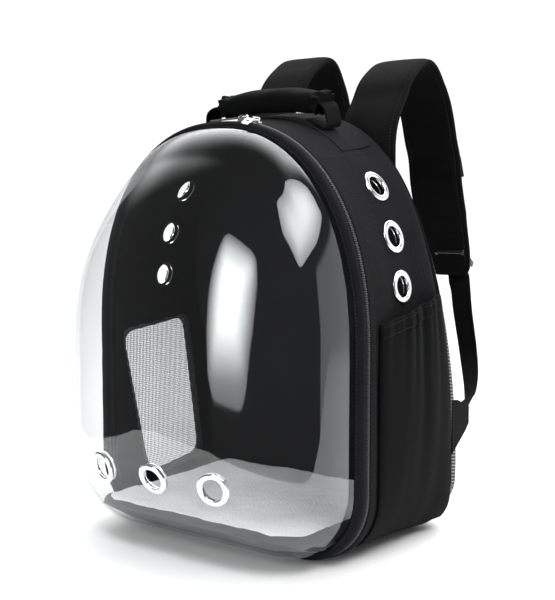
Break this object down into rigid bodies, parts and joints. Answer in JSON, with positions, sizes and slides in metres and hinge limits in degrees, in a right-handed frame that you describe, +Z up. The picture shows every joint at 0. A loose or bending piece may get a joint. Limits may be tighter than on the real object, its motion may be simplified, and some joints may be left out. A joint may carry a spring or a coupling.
{
  "type": "bubble pet carrier backpack",
  "caption": "Arched soft-sided pet carrier backpack with a clear domed zip-on door, metal air eyelets, side mesh window, side pocket, top handle and padded shoulder straps.",
  "frame": {"origin": "on the ground under the flat base, midway between the sides", "axes": "+Z up, -Y out through the clear door, +Y towards the wearer's back, +X to the side with the pocket"},
  "size_m": [0.3388, 0.4466, 0.5008],
  "materials": {
    "cloth": "matt woven polyester",
    "dark_cloth": "matt woven polyester",
    "webbing": "ribbed webbing",
    "air_mesh": "open spacer mesh",
    "metal": "bright plated",
    "plastic": "moulded, glossy",
    "plush": "short plush",
    "clear_shell": "clear, polished"
  },
  "bodies": {
    "bag": {"bag_body": "cloth", "yoke_patch": "cloth", "door_frame": "cloth", "strap_right": "cloth", "strap_left": "cloth", "wing_tab_right": "cloth", "wing_tab_left": "cloth", "side_pocket": "dark_cloth", "pocket_hem": "dark_cloth", "zipper": "dark_cloth", "hinge_strip": "dark_cloth", "handle_wrap": "dark_cloth", "handle_webbing": "webbing", "strap_band_right": "webbing", "strap_band_left": "webbing", "strap_webbing_right": "webbing", "strap_webbing_left": "webbing", "back_pad": "air_mesh", "window_mesh": "air_mesh", "side_eyelet_right_1": "metal", "side_eyelet_right_2": "metal", "side_eyelet_right_3": "metal", "side_eyelet_left_1": "metal", "side_eyelet_left_2": "metal", "side_eyelet_left_3": "metal", "front_eyelet_1": "metal", "front_eyelet_2": "metal", "front_eyelet_3": "metal", "slider_a": "metal", "slider_b": "metal", "ladder_lock_right": "plastic", "ladder_lock_left": "plastic", "floor_mat": "plush", "bubble": "clear_shell"},
    "long_pull": {"pull_a": "metal"},
    "short_pull": {"pull_b": "metal"}
  },
  "joints": [
    {"name": "long_pull_hinge", "type": "hinge", "parent": "bag", "child": "long_pull", "pos_m": [0.02224, -0.07785, 0.41349], "axis": [0, 1, 0], "range_deg": [0, 150]},
    {"name": "short_pull_hinge", "type": "hinge", "parent": "bag", "child": "short_pull", "pos_m": [0.03684, -0.07785, 0.41123], "axis": [-0.9777, 0, 0.2099], "range_deg": [0, 140]}
  ]
}
